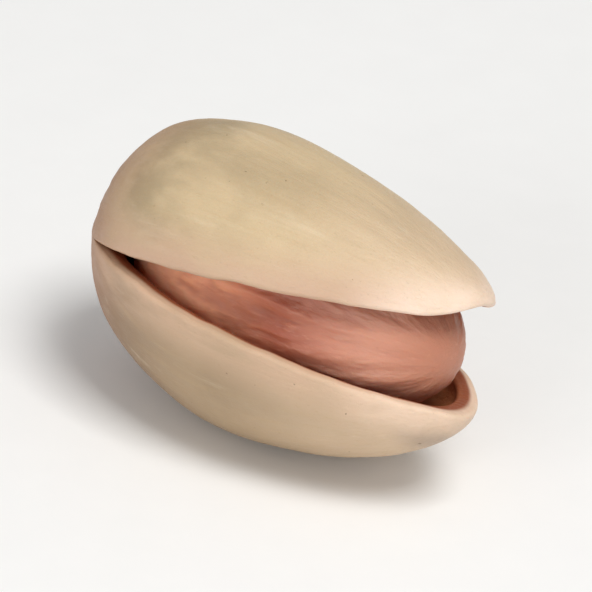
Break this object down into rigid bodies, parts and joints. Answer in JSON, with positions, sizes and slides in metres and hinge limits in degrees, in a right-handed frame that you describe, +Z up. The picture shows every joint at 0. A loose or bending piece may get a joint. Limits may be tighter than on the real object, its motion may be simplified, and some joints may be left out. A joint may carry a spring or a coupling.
{
  "type": "pistachio in shell",
  "caption": "Naturally split pistachio lying on its lower valve: a hard pale shell gaping along its suture, with a loose wrinkled kernel inside.",
  "frame": {"origin": "centre of the bounding box's base, on the surface that the nut lies on", "axes": "+X from the stem end to the tip, -Y the side that the mouth opens to, +Z up"},
  "size_m": [0.0206, 0.0124, 0.0128],
  "materials": {
    "shell": "smooth, dry, satin",
    "kernel_skin": "thin wrinkled skin, satin"
  },
  "bodies": {
    "root": {"shell": "shell", "kernel": "kernel_skin"}
  },
  "joints": []
}
